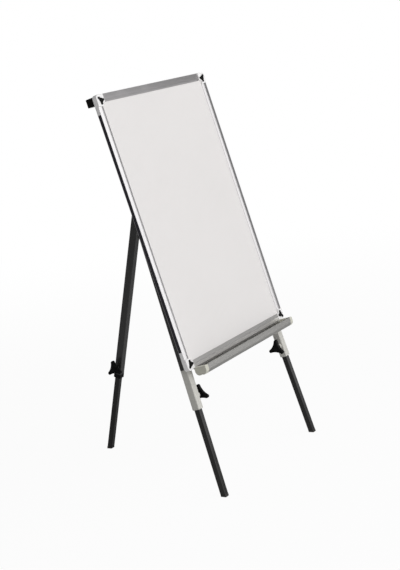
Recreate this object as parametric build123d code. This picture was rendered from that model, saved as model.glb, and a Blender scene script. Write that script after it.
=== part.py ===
from build123d import *
import math
import os

# Whiteboard easel: a framed portrait board on two front legs and one folding rear leg.
# World frame: +Z up, +X to the viewer's right, the board faces -Y, the rear leg stands towards +Y.
# The origin is on the floor, under the middle of the easel's bounding box. Lengths in mm, angles in degrees.

# How far a cutter runs past the face that it opens
OVERCUT = 1.0

# Board and its place
BOARD_WIDTH = 700.0
BOARD_HEIGHT = 1000.0
BOARD_LEAN = 13.25
FLOOR_TO_BOARD = 456.0

# Panel that slides into the frame
SURFACE_THICKNESS = 0.6
CORE_THICKNESS = 8.0
BACKING_THICKNESS = 0.5
PANEL_EDGE_CLEARANCE = 0.5
PANEL_BACK_CLEARANCE = 0.3

# Frame extrusion, one section for all four rails
RAIL_WIDTH = 29.0
FRAME_DEPTH = 17.0
RAIL_CREST = 19.0
RAIL_CREST_RADIUS = 20.0
RAIL_OUTER_DROP = 3.0
RAIL_SLOPE_DROP = 4.5
RAIL_LIP = 1.0
RAIL_FRONT_WALL = 1.5
RAIL_GRIP = 14.0
RAIL_WALL = 1.8
RAIL_SIDE_WALL = 6.0
RAIL_GROOVE_WIDTH = 4.0
RAIL_GROOVE_DEPTH = 2.5

# Edge strips in the recesses of the two long sides
TRIM_THICKNESS = 2.0
TRIM_WIDTH = 12.4
TRIM_MIDDLE = 10.0
TONGUE_CLEARANCE = 0.1

# Corner caps and their inserts
CAP_REACH = 42.0
CAP_SKIRT = 28.0
CAP_RADIUS = 14.0
CAP_INNER_RADIUS = 6.0
CAP_PROUD = 1.0
CAP_EDGE_FILLET = 0.9
SPIGOT_LENGTH = 25.0
SPIGOT_CLEARANCE = 0.1
INSERT_REACH = 15.5
INSERT_CORNER_REACH = 18.0
INSERT_ARM_WIDTH = 9.5
INSERT_HUB_RADIUS = 9.0
INSERT_DIRECTION = 225.0
INSERT_SPREAD = 128.0
INSERT_HEIGHT = 4.0
INSERT_FILLET = 1.0
INSERT_RECESS = 1.0
INSERT_CLEARANCE = 0.1
INSERT_CENTRE = 22.0

# Pen tray
TRAY_INSET = 48.0
TRAY_LOBE_RADIUS = 16.0
TRAY_LOBE_PITCH = 17.2
TRAY_LOBE_DROP = 11.0
TRAY_NOTCH_RADIUS = 3.0
TRAY_LIP_HEIGHT = 4.0
TRAY_WALL = 1.8
TRAY_STANDOFF = 2.0
TRAY_FLANGE_THICKNESS = 2.0
TRAY_FLANGE_REACH = 13.0
TRAY_BEAD_RADIUS = 1.8
TRAY_CAP_LENGTH = 18.0
TRAY_CAP_PLUG = 10.0
TRAY_CAP_FILLET = 2.0
TRAY_SCREW_COUNT = 4
TRAY_SCREW_INSET = 32.0

# Crossbar behind the board's top edge
CROSSBAR_HEIGHT = 30.0
CROSSBAR_DEPTH = 33.0
CROSSBAR_WALL = 1.5
CROSSBAR_END_INSET = 5.0
CROSSBAR_TOP_INSET = 4.0
PLUG_FLANGE = 3.0
PLUG_DEPTH = 22.0
PLUG_CLEARANCE = 0.1
PLUG_FILLET = 1.0
CROSSBAR_BOLT_COUNT = 4
CROSSBAR_BOLT_INSET = 90.0
CROSSBAR_BOLT_RADIUS = 2.5
CROSSBAR_BOLT_HEAD_RADIUS = 5.0
CROSSBAR_BOLT_HEAD_HEIGHT = 3.0
CROSSBAR_BOLT_HEAD_FILLET = 1.8
CROSSBAR_BOLT_BITE = 4.0

# Square leg tubes
UPPER_TUBE = 29.0
UPPER_WALL = 1.5
UPPER_RADIUS = 3.0
LOWER_TUBE = 21.0
LOWER_WALL = 1.5
LOWER_RADIUS = 2.5
LOWER_LENGTH = 760.0
SLIDE_CLEARANCE = 0.2
LEG_SPLAY = 2.5
LEG_FOOT_INSET = 13.3

# Clamp fitting under each front tube
FITTING_SIZE = 29.0
FITTING_LENGTH = 146.0
FITTING_RADIUS = 3.5
FITTING_FILLET = 1.2
FITTING_TOP_RISE = 5.0
FITTING_SPIGOT = 40.0
CLAMP_RISE = 46.0
CLAMP_BOSS_RADIUS = 10.0
CLAMP_BOSS_LENGTH = 10.0
INSERT_NUT_RADIUS = 6.5
INSERT_NUT_LENGTH = 9.0

# Clamp knob and screw, one pattern for all three legs
KNOB_TIP_REACH = 34.0
KNOB_TIP_RADIUS = 6.5
KNOB_WEB_REACH = 15.5
KNOB_THICKNESS = 13.0
KNOB_FILLET = 2.5
KNOB_HUB_RADIUS = 9.5
KNOB_HUB_LENGTH = 9.5
KNOB_GAP = 0.6
KNOB_TURNS = {"left": 0.0, "right": 16.0, "rear": -22.0}
SCREW_RADIUS = 4.0
SCREW_CLEARANCE = 0.05
SCREW_IN_KNOB = 17.0
SCREW_TIP_GAP = 0.1

# Guide block on each lower tube's top end, and rubber end plugs that the tubes stand on
GUIDE_LENGTH = 15.0
GUIDE_PLUG = 12.0
GUIDE_CLEARANCE = 0.2
FOOT_SIZE = 22.0
FOOT_SOLE = 7.0
FOOT_PLUG = 18.0
FOOT_RADIUS = 3.0
FOOT_FILLET = 1.0

# Brackets that hold the board's lower rail to the front legs
BRACKET_PLATE = 2.0
BRACKET_REACH = 42.0
BRACKET_SCREW_REACH = 28.0
BRACKET_BASE = 7.0
BRACKET_HEIGHT = 19.0
BRACKET_SCREW_RISE = 11.0
SMALL_SCREW_RADIUS = 1.9
SMALL_HEAD_RADIUS = 4.0
SMALL_HEAD_HEIGHT = 2.4
SMALL_HEAD_FILLET = 1.4
SMALL_SCREW_BITE = 4.5
SCREW_HOLE_CLEARANCE = 0.05

# Cross brace behind the front legs
BRACE_RISE = 494.0
BRACE_HEIGHT = 15.0
BRACE_THICKNESS = 4.0
BRACE_CORNER_RADIUS = 4.0

# Rear leg and its hinge under the crossbar
REAR_OPENING = 30.25
HINGE_DROP = 20.0
HINGE_BACK = 34.0
HINGE_BOLT_RADIUS = 4.0
HINGE_BOLT_CLEARANCE = 0.05
HINGE_PLATE = 3.0
HINGE_SIDE_GAP = 0.5
HINGE_EAR_RADIUS = 13.0
HINGE_STOP_CLEARANCE = 0.1
HINGE_HEAD_RADIUS = 7.0
HINGE_HEAD_HEIGHT = 5.0
HINGE_HEAD_FILLET = 2.5
HINGE_NUT_HEIGHT = 6.5
HINGE_THREAD_END = 2.0
HINGE_BLOCK_FLANGE = 2.0
HINGE_BLOCK_LENGTH = 42.0
REAR_COLLAR_BOTTOM = 1116.0
REAR_COLLAR_HEIGHT = 16.0
REAR_COLLAR_SIZE = 30.0
REAR_COLLAR_SPIGOT = 60.0
REAR_CLAMP_RISE = 45.0
WELD_NUT_RADIUS = 7.5
WELD_NUT_LENGTH = 7.0
WELD_NUT_FILLET = 1.0

SIDES = {"left": -1, "right": 1}

# The board frame: x across, y up the board, z out of the board's front, from the lower rail's middle.
board_up = Vector(0, math.sin(math.radians(BOARD_LEAN)), math.cos(math.radians(BOARD_LEAN)))
board_out = Vector(1, 0, 0).cross(board_up)
board_place = Plane(origin=(0, 0, FLOOR_TO_BOARD), x_dir=(1, 0, 0), z_dir=board_out).location


def along_x(x_start):
    """Plane whose sketch x runs along +Y and sketch y along +Z, extruding along +X."""
    return Plane(origin=(x_start, 0, 0), x_dir=(0, 1, 0), z_dir=(1, 0, 0))


def along_y(y_start):
    """Plane for sections of tubes that run along Y: sketch x is X, and the section is mirrored in z."""
    return Plane(origin=(0, y_start, 0), x_dir=(1, 0, 0), z_dir=(0, 1, 0))


def block(x_low, x_high, y_low, y_high, z_low, z_high):
    """Box from its low and high coordinates."""
    box = Box(x_high - x_low, y_high - y_low, z_high - z_low)
    return Pos((x_low + x_high) / 2, (y_low + y_high) / 2, (z_low + z_high) / 2) * box


def prism(sketch, y_low, y_high):
    """Section extruded along Y."""
    return extrude(along_y(y_low) * sketch, y_high - y_low)


def rod_x(radius, x_low, x_high):
    """Round rod along X."""
    return Pos((x_low + x_high) / 2, 0, 0) * Rot(0, 90, 0) * Cylinder(radius, x_high - x_low)


def square_tube(size, wall, radius, y_low, y_high):
    """Square hollow section with rounded corners, along Y."""
    outer = RectangleRounded(size, size, radius)
    inner = RectangleRounded(size - 2 * wall, size - 2 * wall, radius - wall)
    return prism(outer - inner, y_low, y_high)


def spread(half_span, count):
    """Evenly spaced places from -half_span to half_span."""
    return [half_span * (2 * place / (count - 1) - 1) for place in range(count)]


def facing(direction):
    """Turn that points +X to +X or -X."""
    return Rot(0, 0 if direction > 0 else 180, 0)


# Board panel

slot_front = RAIL_SLOPE_DROP + RAIL_LIP
panel_thickness = SURFACE_THICKNESS + CORE_THICKNESS + BACKING_THICKNESS
slot_back = slot_front + panel_thickness + PANEL_BACK_CLEARANCE
slot_bottom = RAIL_WIDTH - RAIL_GRIP
panel_half_width = BOARD_WIDTH / 2 - slot_bottom - PANEL_EDGE_CLEARANCE
panel_low = slot_bottom + PANEL_EDGE_CLEARANCE
panel_high = BOARD_HEIGHT - panel_low


def panel_layer(front_depth, thickness):
    """One flat layer of the panel, from its depth behind the frame's front."""
    z_high = -front_depth
    return block(-panel_half_width, panel_half_width, panel_low, panel_high, z_high - thickness, z_high)


# Frame rails

hollow_low = RAIL_SIDE_WALL
hollow_high = slot_bottom - RAIL_WALL
hollow_front = RAIL_SLOPE_DROP + RAIL_FRONT_WALL
hollow_back = FRAME_DEPTH - RAIL_WALL


def rail(length):
    """Rail along X: a ridged front, a recess and a groove for the edge strip in its outer side, a closed
    hollow and a slot that grips the panel.

    The outer side lies on y = 0 and the rail grows towards +Y.
    """
    with BuildSketch() as section:
        with BuildLine():
            Polyline(
                (0, -RAIL_OUTER_DROP),
                (RAIL_CREST, 0),
                (RAIL_WIDTH, -RAIL_SLOPE_DROP),
                (RAIL_WIDTH, -slot_front),
                (slot_bottom, -slot_front),
                (slot_bottom, -slot_back),
                (RAIL_WIDTH, -slot_back),
                (RAIL_WIDTH, -FRAME_DEPTH),
                (0, -FRAME_DEPTH),
                close=True,
            )
        make_face()
        fillet(section.vertices().sort_by_distance((RAIL_CREST, 0))[:1], RAIL_CREST_RADIUS)
    hollow_width = hollow_high - hollow_low
    hollow_depth = hollow_back - hollow_front
    hollow = Pos((hollow_low + hollow_high) / 2, -(hollow_front + hollow_back) / 2) * Rectangle(
        hollow_width, hollow_depth
    )
    recess = Pos(TRIM_THICKNESS / 2, -TRIM_MIDDLE) * Rectangle(TRIM_THICKNESS, TRIM_WIDTH)
    groove = Pos(TRIM_THICKNESS + RAIL_GROOVE_DEPTH / 2, -TRIM_MIDDLE) * Rectangle(
        RAIL_GROOVE_DEPTH, RAIL_GROOVE_WIDTH
    )
    return extrude(along_x(-length / 2) * (section.sketch - hollow - recess - groove), length)


def edge_trim(y_low, y_high, side):
    """Strip in the recess of a long side of the frame, with a tongue in the rail's groove."""
    outer = BOARD_WIDTH / 2
    inner = outer - TRIM_THICKNESS
    tongue_end = inner - RAIL_GROOVE_DEPTH + TONGUE_CLEARANCE
    half_tongue = RAIL_GROOVE_WIDTH / 2 - TONGUE_CLEARANCE
    strip = block(
        inner, outer, y_low, y_high, -TRIM_MIDDLE - TRIM_WIDTH / 2, -TRIM_MIDDLE + TRIM_WIDTH / 2
    )
    edges = strip.edges().filter_by(Axis.Y).group_by(Axis.X)[-1]
    strip = fillet(edges, TRIM_THICKNESS / 2)
    tongue = block(
        tongue_end, inner, y_low, y_high, -TRIM_MIDDLE - half_tongue, -TRIM_MIDDLE + half_tongue
    )
    trim = strip + tongue
    return trim if side > 0 else mirror(trim, Plane.YZ)


# Corner caps

def corner_star(arm_width, clearance):
    """Three-armed outline, one arm to the board's corner and two along the rails' directions."""
    width = arm_width + 2 * clearance
    star = Circle(INSERT_HUB_RADIUS + clearance)
    for turn in (-INSERT_SPREAD, 0.0, INSERT_SPREAD):
        reach = INSERT_CORNER_REACH if turn == 0.0 else INSERT_REACH
        length = reach + clearance - width / 2
        direction = INSERT_DIRECTION + turn
        arm = SlotCenterToCenter(length, width, rotation=direction)
        middle = Vector(length / 2, 0, 0).rotate(Axis.Z, direction)
        star += Pos(middle.X, middle.Y) * arm
    return star


def corner_cap():
    """Cap of the lower left corner, with the corner at the local origin."""
    with BuildSketch() as outline:
        with BuildLine():
            Polyline(
                (0, 0),
                (CAP_REACH, 0),
                (CAP_REACH, RAIL_WIDTH),
                (RAIL_WIDTH, RAIL_WIDTH),
                (RAIL_WIDTH, CAP_REACH),
                (0, CAP_REACH),
                close=True,
            )
        make_face()
        fillet(outline.vertices().sort_by_distance((0, 0))[:1], CAP_RADIUS)
        fillet(outline.vertices().sort_by_distance((RAIL_WIDTH, RAIL_WIDTH))[:1], CAP_INNER_RADIUS)
    cap = extrude(Pos(0, 0, -FRAME_DEPTH) * outline.sketch, FRAME_DEPTH + CAP_PROUD)
    cap = fillet(cap.edges().group_by(Axis.Z)[-1], CAP_EDGE_FILLET)
    gap = PANEL_EDGE_CLEARANCE
    cap -= block(slot_bottom, CAP_REACH + gap, slot_bottom, CAP_REACH + gap, -slot_back, -slot_front)
    low = hollow_low + SPIGOT_CLEARANCE
    high = hollow_high - SPIGOT_CLEARANCE
    back = -hollow_back + SPIGOT_CLEARANCE
    front = -hollow_front - SPIGOT_CLEARANCE
    cap += block(CAP_REACH, CAP_REACH + SPIGOT_LENGTH, low, high, back, front)
    cap += block(low, high, CAP_REACH, CAP_REACH + SPIGOT_LENGTH, back, front)
    half_tongue = RAIL_GROOVE_WIDTH / 2 - TONGUE_CLEARANCE
    skirt = block(
        0,
        TRIM_THICKNESS,
        CAP_REACH,
        CAP_REACH + CAP_SKIRT,
        -TRIM_MIDDLE - TRIM_WIDTH / 2,
        -TRIM_MIDDLE + TRIM_WIDTH / 2,
    )
    skirt = fillet(skirt.edges().filter_by(Axis.Y).group_by(Axis.X)[0], TRIM_THICKNESS / 2)
    cap += skirt
    cap += block(
        TRIM_THICKNESS,
        TRIM_THICKNESS + RAIL_GROOVE_DEPTH - TONGUE_CLEARANCE,
        CAP_REACH,
        CAP_REACH + CAP_SKIRT,
        -TRIM_MIDDLE - half_tongue,
        -TRIM_MIDDLE + half_tongue,
    )
    recess = Pos(INSERT_CENTRE, INSERT_CENTRE, CAP_PROUD - INSERT_RECESS) * corner_star(
        INSERT_ARM_WIDTH, INSERT_CLEARANCE
    )
    return cap - extrude(recess, INSERT_RECESS)


def corner_insert():
    """Black three-armed insert in the recess of the lower left cap."""
    base = CAP_PROUD - INSERT_RECESS
    star = extrude(Pos(INSERT_CENTRE, INSERT_CENTRE, base) * corner_star(INSERT_ARM_WIDTH, 0), INSERT_HEIGHT)
    return fillet(star.edges().group_by(Axis.Z)[-1], INSERT_FILLET)


def at_corner(shape, side, level):
    """Lower left corner piece moved or mirrored to one of the four corners."""
    placed = Pos(-BOARD_WIDTH / 2, 0, 0) * shape
    if side > 0:
        placed = mirror(placed, Plane.YZ)
    if level == "top":
        placed = mirror(placed, Plane.XZ.offset(-BOARD_HEIGHT / 2))
    return placed


# Pen tray

tray_length = BOARD_WIDTH - 2 * TRAY_INSET
tray_depth = TRAY_LOBE_PITCH + 2 * TRAY_LOBE_RADIUS
tray_screw_xs = spread(tray_length / 2 - TRAY_SCREW_INSET, TRAY_SCREW_COUNT)


def tray_outline(inset, top):
    """Two-lobed trough outline up to a height, shrunk by an inset: sketch x is depth, y is height."""
    radius = TRAY_LOBE_RADIUS - inset
    near = TRAY_STANDOFF + TRAY_LOBE_RADIUS
    far = near + TRAY_LOBE_PITCH
    width = tray_depth - 2 * inset
    rise = top + TRAY_LOBE_DROP
    upper = Pos((near + far) / 2, top - rise / 2) * Rectangle(width, rise)
    lobes = Pos(near, -TRAY_LOBE_DROP) * Circle(radius) + Pos(far, -TRAY_LOBE_DROP) * Circle(radius)
    notch = ((near + far) / 2, -TRAY_LOBE_DROP - TRAY_LOBE_RADIUS)
    lobes = fillet(lobes.vertices().sort_by_distance(notch)[:1], TRAY_NOTCH_RADIUS + inset)
    floor_cut = Pos((near + far) / 2, top + TRAY_LOBE_RADIUS) * Rectangle(
        2 * tray_depth, 2 * TRAY_LOBE_RADIUS
    )
    return upper + lobes - floor_cut


def tray_plane(x_start):
    """Plane with sketch x out of the board's front and sketch y up the board, extruding along -X."""
    return Plane(origin=(x_start, 0, 0), x_dir=(0, 0, 1), z_dir=(-1, 0, 0))


def pen_tray():
    """Tray extrusion: trough, rear flange under the lower rail and a rolled bead on the front lip."""
    section = tray_outline(0, TRAY_LIP_HEIGHT) - tray_outline(TRAY_WALL, TRAY_LIP_HEIGHT + OVERCUT)
    rear = Pos(TRAY_STANDOFF, TRAY_LIP_HEIGHT) * Rectangle(4 * TRAY_WALL, 2 * TRAY_LIP_HEIGHT)
    section -= rear
    flange_front = TRAY_STANDOFF + TRAY_WALL
    flange_length = flange_front + TRAY_FLANGE_REACH
    section += Pos(flange_front - flange_length / 2, -TRAY_FLANGE_THICKNESS / 2) * Rectangle(
        flange_length, TRAY_FLANGE_THICKNESS
    )
    lip_middle = TRAY_STANDOFF + tray_depth - TRAY_BEAD_RADIUS
    section += Pos(lip_middle, TRAY_LIP_HEIGHT) * Circle(TRAY_BEAD_RADIUS)
    tray = extrude(tray_plane(tray_length / 2) * section, tray_length)
    for x in tray_screw_xs:
        tray -= Pos(x, 0, -TRIM_MIDDLE) * Rot(90, 0, 0) * Cylinder(
            SMALL_SCREW_RADIUS + SCREW_HOLE_CLEARANCE, 4 * TRAY_FLANGE_THICKNESS
        )
    return tray


def tray_end():
    """Closed cap of the tray's right end, with a plug that seats in the trough."""
    top = TRAY_LIP_HEIGHT
    x_in = tray_length / 2
    cap = extrude(tray_plane(x_in + TRAY_CAP_LENGTH) * tray_outline(0, top), TRAY_CAP_LENGTH)
    cap = fillet(cap.edges().group_by(Axis.X)[-1], TRAY_CAP_FILLET)
    plug = tray_outline(TRAY_WALL + TONGUE_CLEARANCE, -TRAY_FLANGE_THICKNESS - TONGUE_CLEARANCE)
    return cap + extrude(tray_plane(x_in) * plug, TRAY_CAP_PLUG)


def pan_screw(shank_radius, head_radius, head_height, head_fillet, shank_length):
    """Pan-head screw along Z: the head lies below z = 0 and the shank points up."""
    head = Pos(0, 0, -head_height / 2) * Cylinder(head_radius, head_height)
    head = fillet(head.edges().group_by(Axis.Z)[0], head_fillet)
    return head + Pos(0, 0, shank_length / 2) * Cylinder(shank_radius, shank_length)


def small_screw(shank_length):
    """The one size of screw that holds the tray and the board brackets."""
    return pan_screw(
        SMALL_SCREW_RADIUS, SMALL_HEAD_RADIUS, SMALL_HEAD_HEIGHT, SMALL_HEAD_FILLET, shank_length
    )


def tray_screw(x):
    """Screw up through the tray's flange into the lower rail's groove."""
    length = TRAY_FLANGE_THICKNESS + TRIM_THICKNESS + RAIL_GROOVE_DEPTH
    return Pos(x, -TRAY_FLANGE_THICKNESS, -TRIM_MIDDLE) * Rot(-90, 0, 0) * small_screw(length)


# Crossbar

crossbar_top = BOARD_HEIGHT - CROSSBAR_TOP_INSET
crossbar_bottom = crossbar_top - CROSSBAR_HEIGHT
crossbar_middle = (crossbar_top + crossbar_bottom) / 2
crossbar_back = FRAME_DEPTH + CROSSBAR_DEPTH
crossbar_z = -(FRAME_DEPTH + CROSSBAR_DEPTH / 2)
crossbar_half = BOARD_WIDTH / 2 - CROSSBAR_END_INSET - PLUG_FLANGE
crossbar_bolt_xs = spread(BOARD_WIDTH / 2 - CROSSBAR_BOLT_INSET, CROSSBAR_BOLT_COUNT)
bolt_rise = BOARD_HEIGHT - (hollow_low + hollow_high) / 2


def crossbar_bolt_hole(x, radius):
    """Cutter for one board bolt, through the crossbar and the upper rail's back wall."""
    length = crossbar_back - hollow_back
    return Pos(x, bolt_rise, -(crossbar_back + hollow_back) / 2) * Cylinder(radius, length)


def top_crossbar():
    """Square tube across the board's back."""
    outer = RectangleRounded(CROSSBAR_HEIGHT, CROSSBAR_DEPTH, UPPER_RADIUS)
    inner = RectangleRounded(
        CROSSBAR_HEIGHT - 2 * CROSSBAR_WALL, CROSSBAR_DEPTH - 2 * CROSSBAR_WALL, UPPER_RADIUS - CROSSBAR_WALL
    )
    section = Pos(crossbar_middle, crossbar_z) * (outer - inner)
    bar = extrude(along_x(-crossbar_half) * section, 2 * crossbar_half)
    for x in crossbar_bolt_xs:
        bar -= crossbar_bolt_hole(x, CROSSBAR_BOLT_RADIUS + SCREW_HOLE_CLEARANCE)
    return bar


def crossbar_plug(side):
    """End plug of the crossbar: a flange over the tube's end and a spigot inside."""
    flange_face = RectangleRounded(CROSSBAR_HEIGHT, CROSSBAR_DEPTH, UPPER_RADIUS)
    inset = 2 * (CROSSBAR_WALL + PLUG_CLEARANCE)
    spigot_face = RectangleRounded(
        CROSSBAR_HEIGHT - inset, CROSSBAR_DEPTH - inset, UPPER_RADIUS - CROSSBAR_WALL
    )
    place = Pos(crossbar_middle, crossbar_z)
    flange = extrude(along_x(crossbar_half) * place * flange_face, PLUG_FLANGE)
    flange = fillet(flange.edges().group_by(Axis.X)[-1], PLUG_FILLET)
    plug = flange + extrude(along_x(crossbar_half - PLUG_DEPTH) * place * spigot_face, PLUG_DEPTH)
    return plug if side > 0 else mirror(plug, Plane.YZ)


def crossbar_bolt(x):
    """Bolt from the crossbar's back into the upper rail's hollow."""
    length = crossbar_back - hollow_back + CROSSBAR_BOLT_BITE
    bolt = pan_screw(
        CROSSBAR_BOLT_RADIUS,
        CROSSBAR_BOLT_HEAD_RADIUS,
        CROSSBAR_BOLT_HEAD_HEIGHT,
        CROSSBAR_BOLT_HEAD_FILLET,
        length,
    )
    return Pos(x, bolt_rise, -crossbar_back) * bolt


# Leg parts, in a leg frame: y up along the leg, z towards the front, x across

def lower_tube(foot_end):
    """Sliding tube: its lower end stands inside the foot, above the sole."""
    return square_tube(LOWER_TUBE, LOWER_WALL, LOWER_RADIUS, foot_end, foot_end + LOWER_LENGTH)


def guide_block(tube_top):
    """Plastic guide on the lower tube's top end, running inside the upper tube."""
    size = UPPER_TUBE - 2 * UPPER_WALL - 2 * GUIDE_CLEARANCE
    collar = prism(RectangleRounded(size, size, UPPER_RADIUS - UPPER_WALL), tube_top, tube_top + GUIDE_LENGTH)
    plug_size = LOWER_TUBE - 2 * LOWER_WALL - 2 * TONGUE_CLEARANCE
    plug_face = RectangleRounded(plug_size, plug_size, LOWER_RADIUS - LOWER_WALL)
    return collar + prism(plug_face, tube_top - GUIDE_PLUG, tube_top)


def foot(foot_end, sole_low):
    """Rubber end plug, longer than it stands: its sole is cut along the floor once the leg is placed."""
    sole = prism(RectangleRounded(FOOT_SIZE, FOOT_SIZE, FOOT_RADIUS), sole_low, foot_end)
    sole = fillet(sole.edges().group_by(Axis.Y)[-1], FOOT_FILLET)
    plug_size = LOWER_TUBE - 2 * LOWER_WALL - 2 * TONGUE_CLEARANCE
    plug_face = RectangleRounded(plug_size, plug_size, LOWER_RADIUS - LOWER_WALL)
    return sole + prism(plug_face, foot_end, foot_end + FOOT_PLUG)


def knob_outline():
    """Three rounded tips joined by shallow concave arcs, each arc tangent to its two tips."""
    arm = KNOB_TIP_REACH - KNOB_TIP_RADIUS
    gap = KNOB_WEB_REACH - KNOB_TIP_RADIUS
    web_centre = (arm**2 - gap**2) / (arm - 2 * gap)
    with BuildSketch() as outline:
        with BuildLine():
            for wing in range(3):
                angle = 120 * wing - 90
                tip, next_tip = [Vector(arm, 0, 0).rotate(Axis.Z, angle + turn) for turn in (0, 120)]
                before, after = [Vector(web_centre, 0, 0).rotate(Axis.Z, angle + turn) for turn in (-60, 60)]
                start, end = [tip + (web - tip).normalized() * KNOB_TIP_RADIUS for web in (before, after)]
                next_start = next_tip + (after - next_tip).normalized() * KNOB_TIP_RADIUS
                ThreePointArc(start, tip * (KNOB_TIP_REACH / arm), end)
                ThreePointArc(end, after * (KNOB_WEB_REACH / web_centre), next_start)
        make_face()
    return outline.sketch


def clamp_knob(hub_start):
    """Three-winged knob on a hub, its axis along X, one wing up the leg; it starts at a distance in x."""
    wings_start = hub_start + KNOB_HUB_LENGTH
    knob = extrude(Pos(0, 0, wings_start) * knob_outline(), KNOB_THICKNESS)
    knob = fillet(knob.edges().group_by(Axis.Z)[-1], KNOB_FILLET)
    knob += Pos(0, 0, hub_start + KNOB_HUB_LENGTH / 2) * Cylinder(KNOB_HUB_RADIUS, KNOB_HUB_LENGTH)
    hole_end = hub_start + SCREW_IN_KNOB
    knob -= Pos(0, 0, (hub_start + hole_end) / 2) * Cylinder(SCREW_RADIUS, hole_end - hub_start)
    return Plane(origin=(0, 0, 0), x_dir=(0, 0, 1), z_dir=(1, 0, 0)).location * knob


def knob_turn(leg):
    """Turn of a leg's knob about its screw as it stands, from one wing up the leg towards the front."""
    return Rot(KNOB_TURNS[leg], 0, 0)


def clamp_screw(hub_start):
    """Screw from the knob's blind hole to just short of the lower tube's side."""
    return rod_x(SCREW_RADIUS, LOWER_TUBE / 2 + SCREW_TIP_GAP, hub_start + SCREW_IN_KNOB)


def fitting_bore(y_low, y_high):
    """Cutter for the bore that the lower tube slides in."""
    size = LOWER_TUBE + 2 * SLIDE_CLEARANCE
    return prism(RectangleRounded(size, size, LOWER_RADIUS), y_low, y_high)


def tube_spigot(y_low, y_high):
    """Spigot that fills the upper tube's inside."""
    size = UPPER_TUBE - 2 * UPPER_WALL - 2 * TONGUE_CLEARANCE
    return prism(RectangleRounded(size, size, UPPER_RADIUS - UPPER_WALL), y_low, y_high)


# Front legs

leg_z = -(crossbar_back - UPPER_TUBE / 2)
bracket_front = -FRAME_DEPTH - leg_z
lean = math.radians(BOARD_LEAN)
splay = math.radians(LEG_SPLAY)
front_leg_drop = (FLOOR_TO_BOARD + leg_z * math.sin(lean)) / (math.cos(lean) * math.cos(splay))
leg_x_at_board = BOARD_WIDTH / 2 - LEG_FOOT_INSET - front_leg_drop * math.sin(splay)
fitting_bottom = FITTING_TOP_RISE - FITTING_LENGTH
clamp_y = fitting_bottom + CLAMP_RISE
front_foot_end = -front_leg_drop + FOOT_SOLE
clamp_hub_start = FITTING_SIZE / 2 + CLAMP_BOSS_LENGTH + KNOB_GAP


def front_leg_place(side):
    """Leg frame of a front leg in the board frame: the legs spread towards the floor."""
    return Location((side * leg_x_at_board, 0, leg_z), (0, 0, side * LEG_SPLAY))


def front_upper_tube(side):
    """Upper tube from the crossbar's underside, cut square to the crossbar, to the clamp fitting."""
    tube = square_tube(UPPER_TUBE, UPPER_WALL, UPPER_RADIUS, FITTING_TOP_RISE, crossbar_top)
    over = block(-BOARD_WIDTH, BOARD_WIDTH, crossbar_bottom, 2 * BOARD_HEIGHT, -BOARD_WIDTH, BOARD_WIDTH)
    return front_leg_place(side) * tube - over


def clamp_fitting(side):
    """Light fitting: spigot in the upper tube, bore for the lower tube and a boss for the clamp screw."""
    body = prism(RectangleRounded(FITTING_SIZE, FITTING_SIZE, FITTING_RADIUS), fitting_bottom, FITTING_TOP_RISE)
    body = fillet(body.edges().group_by(Axis.Y)[0], FITTING_FILLET)
    body += tube_spigot(FITTING_TOP_RISE, FITTING_TOP_RISE + FITTING_SPIGOT)
    boss_end = FITTING_SIZE / 2 + CLAMP_BOSS_LENGTH
    boss = rod_x(CLAMP_BOSS_RADIUS, LOWER_TUBE / 2, boss_end)
    boss = fillet(boss.edges().group_by(Axis.X)[-1], FITTING_FILLET)
    nut_hole = rod_x(INSERT_NUT_RADIUS, boss_end - INSERT_NUT_LENGTH, boss_end)
    screw_hole = rod_x(SCREW_RADIUS + SCREW_CLEARANCE, 0, boss_end)
    clamp_place = Pos(0, clamp_y, 0) * facing(-side)
    body += clamp_place * boss
    body -= fitting_bore(fitting_bottom, FITTING_TOP_RISE + FITTING_SPIGOT)
    return body - clamp_place * nut_hole - clamp_place * screw_hole


def insert_nut(side):
    """Brass thread insert in the fitting's boss."""
    boss_end = FITTING_SIZE / 2 + CLAMP_BOSS_LENGTH
    start = boss_end - INSERT_NUT_LENGTH
    nut = rod_x(INSERT_NUT_RADIUS, start, boss_end) - rod_x(SCREW_RADIUS + SCREW_CLEARANCE, start, boss_end)
    return Pos(0, clamp_y, 0) * facing(-side) * nut


def board_bracket(side):
    """Angle on the leg's inner side, with a flange against the lower rail's back."""
    inner = UPPER_TUBE / 2
    top = BRACKET_BASE + BRACKET_HEIGHT
    flange_back = bracket_front - BRACKET_PLATE
    flange = block(inner, inner + BRACKET_REACH, BRACKET_BASE, top, flange_back, bracket_front)
    web = block(inner, inner + BRACKET_PLATE, BRACKET_BASE, top, -inner + UPPER_RADIUS, bracket_front)
    bracket = flange + web
    bracket -= bracket_screw_place() * Cylinder(SMALL_SCREW_RADIUS + SCREW_HOLE_CLEARANCE, 4 * BRACKET_PLATE)
    return bracket if side < 0 else mirror(bracket, Plane.YZ)


def bracket_screw_place():
    """Place of the bracket's screw: under its head, on the flange's back, pointing to the front."""
    x = UPPER_TUBE / 2 + BRACKET_SCREW_REACH
    return Pos(x, BRACKET_SCREW_RISE, bracket_front - BRACKET_PLATE)


def bracket_screw(side):
    """Screw through the bracket's flange into the lower rail's back wall."""
    placed = bracket_screw_place() * small_screw(BRACKET_PLATE + SMALL_SCREW_BITE)
    return placed if side < 0 else mirror(placed, Plane.YZ)


def cross_brace():
    """Flat bar across the backs of the two front legs, out to their outer sides."""
    leg_x = leg_x_at_board - BRACE_RISE * math.tan(splay)
    half = leg_x + UPPER_TUBE / 2
    back = leg_z - UPPER_TUBE / 2
    bar = block(
        -half,
        half,
        BRACE_RISE - BRACE_HEIGHT / 2,
        BRACE_RISE + BRACE_HEIGHT / 2,
        back - BRACE_THICKNESS,
        back,
    )
    return fillet(bar.edges().filter_by(Axis.Z), BRACE_CORNER_RADIUS)


# Rear leg, in its own leg frame with the hinge bolt's axis on the local X axis

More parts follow.
